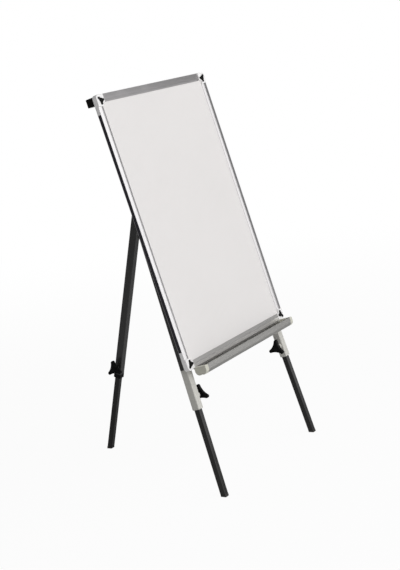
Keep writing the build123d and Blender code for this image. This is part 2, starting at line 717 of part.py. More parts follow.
opening = math.radians(REAR_OPENING)
hinge_y = crossbar_bottom - HINGE_DROP
hinge_place = Pos(0, hinge_y, -HINGE_BACK)
rear_place = hinge_place * Rot(REAR_OPENING, 0, 0)
web_height = HINGE_DROP - HINGE_PLATE
half_tube = UPPER_TUBE / 2
rear_top = (web_height - HINGE_STOP_CLEARANCE - half_tube * math.sin(opening)) / math.cos(opening)
rear_lean = opening - lean
hinge_world = board_place * Location((0, hinge_y, -HINGE_BACK))
rear_length = hinge_world.position.Z / math.cos(rear_lean)
rear_foot_end = -rear_length + FOOT_SOLE
rear_tube_end = -REAR_COLLAR_BOTTOM + REAR_COLLAR_HEIGHT
rear_clamp_y = -REAR_COLLAR_BOTTOM + REAR_CLAMP_RISE
rear_hub_start = half_tube + WELD_NUT_LENGTH + KNOB_GAP
ear_inner = half_tube + HINGE_SIDE_GAP
ear_outer = ear_inner + HINGE_PLATE


def hinge_bracket():
    """Steel saddle under the crossbar: a web and two ears with the bolt's holes, around the hinge axis."""
    web = block(-ear_outer, ear_outer, web_height, HINGE_DROP, -HINGE_EAR_RADIUS, HINGE_EAR_RADIUS)
    ear_side = Circle(HINGE_EAR_RADIUS) + Pos(web_height / 2, 0) * Rectangle(web_height, 2 * HINGE_EAR_RADIUS)
    ear_side -= Circle(HINGE_BOLT_RADIUS + HINGE_BOLT_CLEARANCE)
    ear = extrude(along_x(ear_inner) * ear_side, HINGE_PLATE)
    return web + ear + mirror(ear, Plane.YZ)


def hinge_bolt():
    """Bolt along X with its head on the left ear; its plain end passes the nut on the right."""
    head = rod_x(HINGE_HEAD_RADIUS, -ear_outer - HINGE_HEAD_HEIGHT, -ear_outer)
    head = fillet(head.edges().group_by(Axis.X)[0], HINGE_HEAD_FILLET)
    return head + rod_x(HINGE_BOLT_RADIUS, -ear_outer, ear_outer + HINGE_NUT_HEIGHT + HINGE_THREAD_END)


def hinge_nut():
    """Hexagon nut on the bolt's right end."""
    face = RegularPolygon(HINGE_HEAD_RADIUS, 6) - Circle(HINGE_BOLT_RADIUS + HINGE_BOLT_CLEARANCE)
    return extrude(along_x(ear_outer) * face, HINGE_NUT_HEIGHT)


def rear_upper_tube():
    """Rear leg's upper tube, with holes for the hinge bolt and the clamp screw."""
    tube = square_tube(
        UPPER_TUBE, UPPER_WALL, UPPER_RADIUS, rear_tube_end, rear_top - HINGE_BLOCK_FLANGE
    )
    tube -= rod_x(HINGE_BOLT_RADIUS + HINGE_BOLT_CLEARANCE, -UPPER_TUBE, UPPER_TUBE)
    return tube - Pos(0, rear_clamp_y, 0) * rod_x(SCREW_RADIUS + SCREW_CLEARANCE, -UPPER_TUBE, 0)


def rear_hinge_block():
    """Block in the rear leg's top end: its flange's rear edge bears on the bracket's web when open."""
    flange_low = rear_top - HINGE_BLOCK_FLANGE
    flange = prism(RectangleRounded(UPPER_TUBE, UPPER_TUBE, UPPER_WALL), flange_low, rear_top)
    body = flange + tube_spigot(rear_top - HINGE_BLOCK_LENGTH, flange_low)
    return body - rod_x(HINGE_BOLT_RADIUS + HINGE_BOLT_CLEARANCE, -UPPER_TUBE, UPPER_TUBE)


def rear_collar():
    """Black collar on the rear upper tube's lower end, bored for the lower tube."""
    face = RectangleRounded(REAR_COLLAR_SIZE, REAR_COLLAR_SIZE, FITTING_RADIUS)
    body = prism(face, -REAR_COLLAR_BOTTOM, rear_tube_end)
    body = fillet(body.edges().group_by(Axis.Y)[0], FITTING_FILLET)
    body += tube_spigot(rear_tube_end, rear_tube_end + REAR_COLLAR_SPIGOT)
    body -= fitting_bore(-REAR_COLLAR_BOTTOM, rear_tube_end + REAR_COLLAR_SPIGOT)
    return body - Pos(0, rear_clamp_y, 0) * rod_x(SCREW_RADIUS + SCREW_CLEARANCE, -UPPER_TUBE, 0)


def rear_weld_nut():
    """Round nut on the rear tube's left side."""
    nut = rod_x(WELD_NUT_RADIUS, half_tube, half_tube + WELD_NUT_LENGTH)
    nut = fillet(nut.edges().group_by(Axis.X)[-1], WELD_NUT_FILLET)
    nut -= rod_x(SCREW_RADIUS + SCREW_CLEARANCE, half_tube, half_tube + WELD_NUT_LENGTH)
    return Pos(0, rear_clamp_y, 0) * facing(-1) * nut


# All pieces in the board frame

side_rail_length = BOARD_HEIGHT - 2 * CAP_REACH
cross_rail_length = BOARD_WIDTH - 2 * CAP_REACH
lower_rail = rail(cross_rail_length)
upper_rail = Location((0, BOARD_HEIGHT, 0), (0, 0, 180)) * rail(cross_rail_length)
for x in crossbar_bolt_xs:
    upper_rail -= crossbar_bolt_hole(x, CROSSBAR_BOLT_RADIUS + SCREW_HOLE_CLEARANCE)
for side in SIDES.values():
    hole = Pos(0, 0, BRACKET_PLATE + SMALL_SCREW_BITE / 2) * Cylinder(
        SMALL_SCREW_RADIUS + SCREW_HOLE_CLEARANCE, SMALL_SCREW_BITE + OVERCUT
    )
    hole = bracket_screw_place() * hole
    hole = hole if side < 0 else mirror(hole, Plane.YZ)
    lower_rail -= front_leg_place(side) * hole

board_pieces = {
    "writing_surface": panel_layer(slot_front, SURFACE_THICKNESS),
    "panel_core": panel_layer(slot_front + SURFACE_THICKNESS, CORE_THICKNESS),
    "panel_backing": panel_layer(slot_front + SURFACE_THICKNESS + CORE_THICKNESS, BACKING_THICKNESS),
    "top_rail": upper_rail,
    "bottom_rail": lower_rail,
    "pen_tray": pen_tray(),
    "tray_end_right": tray_end(),
    "tray_end_left": mirror(tray_end(), Plane.YZ),
    "tray_screws": Compound([tray_screw(x) for x in tray_screw_xs]),
    "top_crossbar": top_crossbar(),
    "crossbar_bolts": Compound([crossbar_bolt(x) for x in crossbar_bolt_xs]),
    "cross_brace": cross_brace(),
    "hinge_bracket": hinge_place * hinge_bracket(),
    "hinge_bolt": hinge_place * hinge_bolt(),
    "hinge_nut": hinge_place * hinge_nut(),
    "bracket_screws": Compound([front_leg_place(side) * bracket_screw(side) for side in SIDES.values()]),
    "rear_leg": rear_place * rear_upper_tube(),
    "rear_hinge_block": rear_place * rear_hinge_block(),
    "rear_collar": rear_place * rear_collar(),
    "rear_weld_nut": rear_place * rear_weld_nut(),
    "rear_lower_leg": rear_place * lower_tube(rear_foot_end),
    "rear_guide": rear_place * guide_block(rear_foot_end + LOWER_LENGTH),
    "rear_knob": (
        rear_place * Pos(0, rear_clamp_y, 0) * knob_turn("rear") * facing(-1) * clamp_knob(rear_hub_start)
    ),
    "rear_clamp_screw": rear_place * Pos(0, rear_clamp_y, 0) * facing(-1) * clamp_screw(rear_hub_start),
}

trim_low = CAP_REACH + CAP_SKIRT
for name, side in SIDES.items():
    rail_place = Location((side * BOARD_WIDTH / 2, BOARD_HEIGHT / 2, 0), (0, 0, side * 90))
    leg_place = front_leg_place(side)
    clamp_place = leg_place * Pos(0, clamp_y, 0) * facing(-side)
    board_pieces[f"{name}_rail"] = rail_place * rail(side_rail_length)
    board_pieces[f"{name}_edge_trim"] = edge_trim(trim_low, BOARD_HEIGHT - trim_low, side)
    board_pieces[f"crossbar_plug_{name}"] = crossbar_plug(side)
    board_pieces[f"{name}_leg"] = front_upper_tube(side)
    board_pieces[f"{name}_clamp_fitting"] = leg_place * clamp_fitting(side)
    board_pieces[f"{name}_insert_nut"] = leg_place * insert_nut(side)
    board_pieces[f"{name}_board_bracket"] = leg_place * board_bracket(side)
    board_pieces[f"{name}_lower_leg"] = leg_place * lower_tube(front_foot_end)
    board_pieces[f"{name}_guide"] = leg_place * guide_block(front_foot_end + LOWER_LENGTH)
    knob_place = leg_place * Pos(0, clamp_y, 0) * knob_turn(name) * facing(-side)
    board_pieces[f"{name}_knob"] = knob_place * clamp_knob(clamp_hub_start)
    board_pieces[f"{name}_clamp_screw"] = clamp_place * clamp_screw(clamp_hub_start)
    for level in ("bottom", "top"):
        board_pieces[f"corner_cap_{level}_{name}"] = at_corner(corner_cap(), side, level)
        board_pieces[f"corner_insert_{level}_{name}"] = at_corner(corner_insert(), side, level)

# Stand everything on the floor

pieces = {name: board_place * shape for name, shape in board_pieces.items()}
under_floor = block(-BOARD_WIDTH, BOARD_WIDTH, -BOARD_HEIGHT, 2 * BOARD_HEIGHT, -BOARD_HEIGHT, 0)
foot_places = {
    "left_foot": (front_leg_place(-1), front_foot_end, front_leg_drop),
    "right_foot": (front_leg_place(1), front_foot_end, front_leg_drop),
    "rear_foot": (rear_place, rear_foot_end, rear_length),
}
for name, (place, foot_end, leg_length) in foot_places.items():
    pieces[name] = board_place * place * foot(foot_end, -leg_length - FOOT_SIZE) - under_floor

front_edge = pieces["left_foot"].bounding_box().min.Y
rear_edge = pieces["rear_foot"].bounding_box().max.Y
to_middle = Pos(0, -(front_edge + rear_edge) / 2, 0)

os.makedirs("parts", exist_ok=True)
for name, shape in pieces.items():
    export_step(to_middle * shape, f"parts/{name}.step")

# Joint axes in the world frame, for the assembly record

joint_frames = {
    "board": to_middle * board_place,
    "left_leg": to_middle * board_place * front_leg_place(-1),
    "right_leg": to_middle * board_place * front_leg_place(1),
    "rear_leg": to_middle * board_place * rear_place,
}
for name, frame in joint_frames.items():
    print(name, "origin", frame.position, "angles", frame.orientation)
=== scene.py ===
import math

import bpy
import numpy as np
from mathutils import Matrix, Vector


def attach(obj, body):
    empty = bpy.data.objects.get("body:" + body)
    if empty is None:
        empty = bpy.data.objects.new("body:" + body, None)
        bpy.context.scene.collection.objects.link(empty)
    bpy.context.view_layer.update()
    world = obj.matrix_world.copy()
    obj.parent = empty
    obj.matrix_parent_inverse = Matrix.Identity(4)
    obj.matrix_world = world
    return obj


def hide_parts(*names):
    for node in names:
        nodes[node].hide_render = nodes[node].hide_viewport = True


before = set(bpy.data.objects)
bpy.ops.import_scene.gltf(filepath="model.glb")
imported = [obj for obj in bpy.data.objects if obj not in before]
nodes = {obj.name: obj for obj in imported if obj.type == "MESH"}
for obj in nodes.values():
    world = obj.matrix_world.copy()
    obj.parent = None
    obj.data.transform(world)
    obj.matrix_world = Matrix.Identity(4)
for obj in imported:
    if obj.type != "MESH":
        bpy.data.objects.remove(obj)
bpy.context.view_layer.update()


# The dry-wipe panel. A sheet of steel with a baked off-white enamel is glued to a fibreboard core, and a
# thin galvanised sheet closes its back. It slides into the frame before the last corner is put on.

BOARD_LEAN = math.radians(13.25)
BOARD_FOOT = np.array([0.0, -0.298885, 0.456])
BOARD_ACROSS = np.array([1.0, 0.0, 0.0])
BOARD_UP = np.array([0.0, math.sin(BOARD_LEAN), math.cos(BOARD_LEAN)])
BOARD_OUT = np.cross(BOARD_ACROSS, BOARD_UP)
BOARD_AXES = np.stack([BOARD_ACROSS, BOARD_UP, BOARD_OUT])


class Wire:
    """A number on its way through a finish's nodes: sums and products of wires add Math nodes."""

    def __init__(self, finish, socket):
        self.finish, self.socket = finish, socket

    def maths(self, operation, *values):
        sockets = dict(enumerate(values))
        return self.finish.node("ShaderNodeMath", {"operation": operation}, sockets)

    def __add__(self, other):
        return self.maths("ADD", self, other)

    def __radd__(self, other):
        return self.maths("ADD", other, self)

    def __sub__(self, other):
        return self.maths("SUBTRACT", self, other)

    def __mul__(self, other):
        return self.maths("MULTIPLY", self, other)


class Finish:
    """A material being made. Its constants go straight onto the shader and what varies is linked to it."""

    def __init__(self, name, **constants):
        self.material = bpy.data.materials.new(name)
        self.material.use_nodes = True
        self.tree = self.material.node_tree
        self.shader = self.tree.nodes["Principled BSDF"]
        self.feed(self.shader, {key.replace("_", " "): value for key, value in constants.items()})

    def feed(self, node, sockets):
        for key, value in sockets.items():
            if isinstance(value, Wire):
                self.tree.links.new(value.socket, node.inputs[key])
            else:
                node.inputs[key].default_value = value

    def node(self, kind, settings=None, sockets=None, output=0):
        """Any node: its settings are set first, then its sockets get their values or links."""
        made = self.tree.nodes.new(kind)
        for key, value in (settings or {}).items():
            setattr(made, key, value)
        self.feed(made, sockets or {})
        return Wire(self, made.outputs[output])

    def spot(self, size, axes=None):
        """Object coordinates in lengths of a feature: size is its length along each of the given axes."""
        turn = Matrix(axes.tolist() if axes is not None else np.eye(3).tolist()).transposed().to_euler()
        size = (size,) * 3 if isinstance(size, float) else size
        coordinates = self.node("ShaderNodeTexCoord", output="Object")
        return self.node(
            "ShaderNodeMapping",
            {"vector_type": "TEXTURE"},
            {"Vector": coordinates, "Rotation": turn, "Scale": size},
        )

    def noise(self, size, axes=None, detail=3.0, rough=0.5):
        """Soft noise from 0 to 1 with features of a size in metres."""
        sockets = {"Vector": self.spot(size, axes), "Scale": 1.0, "Detail": detail, "Roughness": rough}
        return self.node("ShaderNodeTexNoise", None, sockets, "Fac")

    def ramp(self, value, low, high, floor=0.0, top=1.0):
        """Value taken from low..high to floor..top along an S curve, and held beyond them."""
        sockets = {"Value": value, "From Min": low, "From Max": high, "To Min": floor, "To Max": top}
        return self.node("ShaderNodeMapRange", {"interpolation_type": "SMOOTHSTEP"}, sockets)

    def tint(self, amount, dark, light):
        """Colour between two, by a wire from 0 to 1."""
        sockets = {0: amount, 6: (*dark, 1.0), 7: (*light, 1.0)}
        return self.node("ShaderNodeMix", {"data_type": "RGBA"}, sockets, 2)

    def paint(self, colour, roughness, height=None, depth=0.0):
        """Colour, roughness and relief: height is a wire from 0 to 1 that stands for a depth in metres."""
        sockets = {"Base Color": colour, "Roughness": roughness}
        if height is not None:
            sockets["Normal"] = self.node("ShaderNodeBump", None, {"Height": height, "Distance": depth})
        self.feed(self.shader, sockets)
        return self.material


def coat(material, *names):
    """Gives CAD nodes their finish."""
    for name in names:
        nodes[name].data.materials.clear()
        nodes[name].data.materials.append(material)


def wiped_enamel():
    """Off-white enamel: a faint haze of old wiping in slanting streaks, over the fine ripple of the coat."""
    finish = Finish("wiped_enamel", IOR=1.5)
    across, up, out = BOARD_AXES
    slant = math.radians(24.0)
    along = np.cos(slant) * across + np.sin(slant) * up
    axes = np.stack([along, np.cross(out, along), out])
    haze = finish.ramp(finish.noise((0.30, 0.22, 0.3)), 0.35, 0.7)
    streaks = finish.ramp(finish.noise((0.22, 0.012, 0.1), axes, detail=4.0), 0.45, 0.75)
    marks = haze * 0.6 + streaks * haze * 0.4
    colour = finish.tint(marks, (0.824, 0.802, 0.794), (0.804, 0.783, 0.774))
    ripple = finish.noise(0.006, detail=1.0)
    return finish.paint(colour, 0.30 + marks * 0.03, ripple, 0.000003)


def pressed_fibreboard():
    """Brown fibreboard: matted fibres of two lengths, with darker specks."""
    finish = Finish("pressed_fibreboard")
    fibres = finish.noise((0.004, 0.0008, 0.0008), detail=5.0, rough=0.7)
    specks = finish.ramp(finish.noise(0.0015, detail=2.0), 0.62, 0.7)
    colour = finish.tint(fibres * 0.8 - specks * 0.4, (0.16, 0.10, 0.06), (0.42, 0.29, 0.18))
    return finish.paint(colour, 0.85 + fibres * 0.1, fibres, 0.0002)


def zinc_spangle():
    """Galvanised sheet: crystals of zinc of slightly different greys, dulled unevenly."""
    finish = Finish("zinc_spangle", Metallic=0.85)
    sockets = {"Vector": finish.spot(0.014), "Scale": 1.0}
    crystal = finish.node("ShaderNodeTexVoronoi", None, sockets, "Color")
    tone = finish.node("ShaderNodeSeparateColor", None, {"Color": crystal})
    bloom = finish.noise(0.12, detail=4.0)
    colour = finish.tint(tone * 0.7 + bloom * 0.3, (0.34, 0.35, 0.36), (0.55, 0.56, 0.57))
    return finish.paint(colour, 0.34 + tone * 0.12 + bloom * 0.14, tone, 0.00002)


coat(wiped_enamel(), "writing_surface")
coat(pressed_fibreboard(), "panel_core")
coat(zinc_spangle(), "panel_backing")


# The frame. Four lengths of one aluminium extrusion, drawn and anodised a satin silver. Its ridged front
# mirrors the lamp on one slope and the dim room on the other. Each rail's colour is its own tone of the one
# metal, painted light and shade. The bottom rail is near white with grey laid over it above a low band, which
# leaves a painted lighter band near the tray, and a painted shade darkens the corner above the tray.

# Painted shade: a dark band low on the bottom rail, where the gap above the tray lies in shade.
PAINTED_SHADE_LOW = 0.0026
PAINTED_SHADE_HIGH = 0.0040
PAINTED_SHADE_COLOUR = (0.05, 0.045, 0.04, 1.0)
# Painted light: grey covers the near-white bottom rail above these heights, so the band below them is painted
# lighter, against the shade near the tray.
PAINTED_LIGHT_LOW = 0.011
PAINTED_LIGHT_HIGH = 0.018
GREY_ABOVE_PAINTED_LIGHT = (0.22, 0.215, 0.21, 1.0)


def drawn_aluminium(name, colour, run, painted_shade=0.0, dust_and_painted_light=0.0, metallic=1.0):
    """Anodised extrusion: fine die lines that run along the piece and a slow change of tone. A painted shade
    darkens it below a height over the board's foot, and grey covers it above a higher one, which leaves a
    painted lighter band below that; both amounts from 0 to 1."""
    finish = Finish(name, Metallic=metallic)
    axes = np.stack([run, np.cross(BOARD_OUT, run), BOARD_OUT])
    lines = finish.noise((0.9, 0.0006, 0.0006), axes, detail=2.0)
    tone = finish.noise((0.35, 0.02, 0.02), axes, detail=2.0)
    smudge = finish.ramp(finish.noise(0.05, detail=4.0), 0.5, 0.72)
    position = finish.node("ShaderNodeTexCoord", output="Object")
    sockets = {0: position, 1: tuple(BOARD_UP)}
    height = finish.node("ShaderNodeVectorMath", {"operation": "DOT_PRODUCT"}, sockets, "Value")
    rise = height - float(BOARD_FOOT @ BOARD_UP)
    # Painted shade, darkening the rail below a low height, in the gap above the tray.
    painted_shade_mask = finish.ramp(rise, PAINTED_SHADE_LOW, PAINTED_SHADE_HIGH, painted_shade, 0.0)
    dark = tuple(0.90 * part for part in colour)
    light = tuple(min(1.0, 1.06 * part) for part in colour)
    metal = finish.tint(lines * 0.6 + tone * 0.4, dark, light)
    # Grey laid over the rail above a band, which leaves the painted light of the lighter band below it.
    grey_above_painted_light = finish.ramp(rise, PAINTED_LIGHT_LOW, PAINTED_LIGHT_HIGH, 0.0, dust_and_painted_light) * (lines * 0.2 + 0.9)
    shade = metal
    for cover, hue in ((grey_above_painted_light, GREY_ABOVE_PAINTED_LIGHT), (painted_shade_mask, PAINTED_SHADE_COLOUR)):
        shade = finish.node("ShaderNodeMix", {"data_type": "RGBA"}, {0: cover, 6: shade, 7: hue}, 2)
    return finish.paint(shade, 0.34 + lines * 0.06 + smudge * 0.05 + painted_shade_mask * 0.3, lines, 0.000006)


# Each rail's colour is a tone of the one aluminium, painted for how that rail catches the light: painted
# light and shade. The bottom rail's near-white tone is painted light.
coat(drawn_aluminium("cross_rail_painted_light_tone", (0.485, 0.472, 0.477), BOARD_ACROSS), "top_rail")
# The bottom rail: painted shade low above the tray, and grey over it above a painted lighter band.
coat(
    drawn_aluminium(
        "low_rail_painted_light_tone", (0.94, 0.925, 0.905), BOARD_ACROSS, painted_shade=0.75, dust_and_painted_light=0.65, metallic=0.6
    ),
    "bottom_rail",
)
coat(drawn_aluminium("left_rail_painted_light_tone", (0.64, 0.63, 0.635), BOARD_UP), "left_rail")
coat(drawn_aluminium("right_rail_painted_light_tone", (0.51, 0.50, 0.505), BOARD_UP), "right_rail")


# The edge strips. Dark plastic strips snapped into a groove on the outside of the two side rails.


def moulded(name, colour, roughness, wear=0.0, gloss=0.5):
    """Moulded plastic: spark-eroded grain, faint flow marks and hands' polish in broad patches."""
    finish = Finish(name, IOR=1.46, Specular_IOR_Level=gloss)
    fine = finish.noise(0.0004, detail=1.0)
    flow = finish.noise((0.03, 0.03, 0.09), detail=3.0)
    polish = finish.ramp(finish.noise(0.02, detail=2.0), 0.4, 0.7)
    dark = tuple(0.93 * part for part in colour)
    light = tuple(min(1.0, 1.04 * part + wear) for part in colour)
    shade = finish.tint(flow * 0.7 + fine * 0.3, dark, light)
    return finish.paint(shade, roughness + fine * 0.08 - polish * 0.09, fine, 0.00003)


coat(moulded("dark_strip", (0.020, 0.018, 0.026), 0.50), "left_edge_trim", "right_edge_trim")


# The corners. White moulded caps bridge the rails, and each carries a black three-armed insert.

white_moulding = moulded("white_moulding", (0.94, 0.93, 0.93), 0.36)
black_moulding = moulded("black_moulding", (0.002, 0.002, 0.002), 0.48, wear=0.001, gloss=0.16)
corners = [f"{level}_{side}" for level in ("bottom", "top") for side in ("left", "right")]
coat(white_moulding, *[f"corner_cap_{corner}" for corner in corners])
coat(black_moulding, *[f"corner_insert_{corner}" for corner in corners])


# The pen tray. A two-lobed extrusion screwed up into the lower rail, closed by cream end caps. Its screws
# and the bolts of the crossbar are zinc-plated, with a cross recess in a pan head. Sizes are millimetres.

coat(drawn_aluminium("tray_aluminium", (0.43, 0.425, 0.41), BOARD_ACROSS), "pen_tray")
coat(moulded("cream_moulding", (0.62, 0.61, 0.53), 0.42), "tray_end_left", "tray_end_right")


def plated_steel(name, colour, roughness):
    """Zinc-plated or plain steel: lathe marks, a mottled plating and small dark pores."""
    finish = Finish(name, Metallic=1.0)
    mottle = finish.noise(0.004, detail=3.0)
    marks = finish.noise((0.004, 0.0003, 0.0003), detail=2.0)
    pores = finish.ramp(finish.noise(0.0009, detail=1.0), 0.66, 0.74)
    dark = tuple(0.72 * part for part in colour)
    shade = finish.tint(mottle * 0.7 + marks * 0.3 - pores * 0.5, dark, colour)
    return finish.paint(shade, roughness + marks * 0.12 + pores * 0.2, marks, 0.00002)


zinc_plate = plated_steel("zinc_plate", (0.66, 0.65, 0.62), 0.26)
SPOKES = 72
SHARP = math.radians(35.0)
HEAD_RINGS = 22
RECESS_HALF_WIDTH = 0.13
RECESS_REACH = 0.55
RECESS_DEPTH = 0.55
RECESS_SIDE_SLOPE = 0.05
RECESS_END_SLOPE = 0.08
SCREW_POINT = 1.0
SMALL_SCREW = {"head_radius": 4.0, "head_height": 2.4, "shank_radius": 1.9}
CROSSBAR_BOLT = {"head_radius": 5.0, "head_height": 3.0, "shank_radius": 2.5}
TRAY_SCREW_LENGTH = 6.5
TRAY_SCREW_XS = (-270.0, -90.0, 90.0, 270.0)
TRAY_SCREW_UP = -2.0
TRAY_SCREW_OUT = -10.0
CROSSBAR_BOLT_LENGTH = 38.8
CROSSBAR_BOLT_XS = (-260.0, -86.667, 86.667, 260.0)
CROSSBAR_BOLT_UP = 990.4
CROSSBAR_BOLT_OUT = -50.0


def place(centre, axes, rings):
    """Local millimetres along three axes from a centre given in metres, as world metres."""
    return centre + 0.001 * rings @ np.stack(axes)


def rings_about(along, radius):
    """Rings about a local axis: point (i, j) = (a_i, r_ij cos w_j, r_ij sin w_j), w_j = 2 pi j / SPOKES."""
    turn = np.arange(SPOKES) * 2 * math.pi / SPOKES
    along, radius = np.broadcast_arrays(np.asarray(along, float), np.asarray(radius, float) + 0.0 * turn)
    return np.stack([along, radius * np.cos(turn), radius * np.sin(turn)], axis=-1)


def skin(name, body, slot, material, replaced, *stacks):
    """A piece made of stacks of rings. Quads join ring i to ring i + 1, and a fan onto the middle of its ring
    closes each end, or the stack closes on itself where its last ring is its first. Normals point out."""
    points, faces = [], []
    for rings in stacks:
        looped = np.allclose(rings[0], rings[-1])
        rings = rings[:-1] if looped else rings
        count, size = rings.shape[:2]
        ring, spoke = np.meshgrid(np.arange(count if looped else count - 1), np.arange(size), indexing="ij")
        after, beside = (ring + 1) % count, (spoke + 1) % size
        corners = [ring * size + spoke, ring * size + beside, after * size + beside, after * size + spoke]
        quads = np.stack(corners, axis=-1).reshape(-1, 4)
        flat = rings.reshape(-1, 3)
        around = np.arange(size)
        next_one = (around + 1) % size
        fans = []
        if not looped:
            flat = np.vstack([flat, rings[0].mean(axis=0), rings[-1].mean(axis=0)])
            fans.append(np.stack([np.full(size, count * size), next_one, around], axis=-1))
            last = (count - 1) * size
            fans.append(np.stack([np.full(size, count * size + 1), last + around, last + next_one], axis=-1))
        triangles = np.vstack([quads[:, [0, 1, 2]], quads[:, [0, 2, 3]], *fans])
        a, b, c = (flat[triangles[:, corner]] - flat.mean(axis=0) for corner in range(3))
        outward = np.einsum("ij,ij->", a, np.cross(b, c)) > 0.0
        start = sum(len(part) for part in points)
        for part in (quads, *fans):
            faces += ((part if outward else part[:, ::-1]) + start).tolist()
        points.append(flat)
    mesh = bpy.data.meshes.new(name)
    mesh.from_pydata(np.vstack(points), [], faces)
    mesh.shade_smooth()
    mesh.set_sharp_from_angle(angle=SHARP)
    mesh.materials.append(material)
    made = bpy.data.objects.new(name, mesh)
    bpy.context.scene.collection.objects.link(made)
    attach(made, body)
    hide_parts(replaced)


def pan_screw(head_radius, head_height, shank_radius, shank_length):
    """Pan-head screw, its head rising along +a: a = H (1 - (r/R)^4)^0.5, less a cross-shaped recess, whose
    half width, reach and slopes are shares of R and whose depth is a share of H."""
    radius = head_radius * np.concatenate([[1.0], np.linspace(0.995, 0.02, HEAD_RINGS)])[:, None]
    head = rings_about(0.0, radius)
    rise = head_height * np.sqrt(1.0 - np.minimum(radius / head_radius, 1.0) ** 4)
    p, q = np.abs(head[..., 1]) / head_radius, np.abs(head[..., 2]) / head_radius
    inside = np.clip((RECESS_HALF_WIDTH - np.minimum(p, q)) / RECESS_SIDE_SLOPE, 0, 1)
    within = np.clip((RECESS_REACH - np.maximum(p, q)) / RECESS_END_SLOPE, 0, 1)
    head[..., 0] = rise - np.minimum(inside, within) * RECESS_DEPTH * head_height
    along = np.array([[0.0], [-shank_length + SCREW_POINT], [-shank_length]])
    shank = rings_about(along, np.array([[1], [1], [0.6]]) * shank_radius)
    return head, shank


def board_place(x, up, out, along, rings):
    """Rings at a place of the board, in millimetres across, up and out, with their axis along a direction."""
    centre = BOARD_FOOT + 0.001 * (x * BOARD_ACROSS + up * BOARD_UP + out * BOARD_OUT)
    return place(centre, (along, BOARD_ACROSS, np.cross(along, BOARD_ACROSS)), rings)


tray_screws = [
    board_place(x, TRAY_SCREW_UP, TRAY_SCREW_OUT, -BOARD_UP, rings)
    for x in TRAY_SCREW_XS
    for rings in pan_screw(**SMALL_SCREW, shank_length=TRAY_SCREW_LENGTH)
]
crossbar_bolts = [
    board_place(x, CROSSBAR_BOLT_UP, CROSSBAR_BOLT_OUT, -BOARD_OUT, rings)
    for x in CROSSBAR_BOLT_XS
    for rings in pan_screw(**CROSSBAR_BOLT, shank_length=CROSSBAR_BOLT_LENGTH)
]
skin("tray_screw_set", "stand", "zinc_screw", zinc_plate, "tray_screws", *tray_screws)
skin("crossbar_bolt_set", "stand", "zinc_screw", zinc_plate, "crossbar_bolts", *crossbar_bolts)


# The steel stand. Square tubes, a flat cross brace and folded brackets, welded and powder coated black. The
# lower tubes have a darker, glossier coat, and all guides, plugs and fittings are mouldings.


def powder_coat(name, dark, light, roughness):
    """Black powder coat: orange peel, fine specks and paler rubbed patches."""
    finish = Finish(name, IOR=1.5)
    peel = finish.noise(0.0016, detail=1.0)
    specks = finish.ramp(finish.noise(0.0006, detail=1.0), 0.68, 0.76)
    rubbed = finish.ramp(finish.noise((0.02, 0.02, 0.10), detail=4.0), 0.58, 0.8)
    colour = finish.tint(rubbed * 0.6 + specks * 0.4, dark, light)
    return finish.paint(colour, roughness + rubbed * 0.08 + peel * 0.04, peel, 0.00003)


black_coat = powder_coat("powder_coat", (0.040, 0.039, 0.0385), (0.060, 0.0585, 0.0575), 0.24)
coat(
    black_coat,
    "top_crossbar",
    "cross_brace",
    "hinge_bracket",
    "left_leg",
    "right_leg",
    "rear_leg",
    "left_board_bracket",
    "right_board_bracket",
    "rear_weld_nut",
)
coat(
    powder_coat("lower_leg_coat", (0.005, 0.0048, 0.0043), (0.014, 0.0135, 0.0125), 0.12),
    "left_lower_leg",
    "right_lower_leg",
    "rear_lower_leg",
)
coat(
    black_moulding,
    "crossbar_plug_left",
    "crossbar_plug_right",
    "rear_hinge_block",
    "rear_collar",
    "left_guide",
    "right_guide",
    "rear_guide",
)
coat(moulded("light_grey_moulding", (0.62, 0.61, 0.57), 0.40), "left_clamp_fitting", "right_clamp_fitting")
coat(plated_steel("brass", (0.72, 0.55, 0.25), 0.30), "left_insert_nut", "right_insert_nut")
coat(
    plated_steel("screw_steel", (0.5, 0.5, 0.5), 0.32),
    "left_clamp_screw",
    "right_clamp_screw",
    "rear_clamp_screw",
)


def foot_rubber():
    """Black rubber: a dull skin with moulding pores, greyed by dust towards the floor."""
    finish = Finish("foot_rubber", IOR=1.5)
    pores = finish.noise(0.0012, detail=2.0)
    position = finish.node("ShaderNodeTexCoord", output="Object")
    height = finish.node("ShaderNodeSeparateXYZ", None, {"Vector": position}, "Z")
    patches = finish.ramp(finish.noise(0.008, detail=4.0), 0.35, 0.7)
    dust_and_painted_light = finish.ramp(height, 0.0, 0.016, 1.0, 0.0) * patches
    colour = finish.tint(dust_and_painted_light * 0.8 + pores * 0.1, (0.012, 0.012, 0.012), (0.085, 0.08, 0.072))
    return finish.paint(colour, 0.62 + pores * 0.12 + dust_and_painted_light * 0.15, pores, 0.0001)


coat(foot_rubber(), "left_foot", "right_foot", "rear_foot")


# Screws and hinge of the stand. Small screws hold the board's brackets, and the rear leg swings on a bolt
# with a button head, a chamfered nut and a bare thread end. Sizes are millimetres from the hinge's middle.

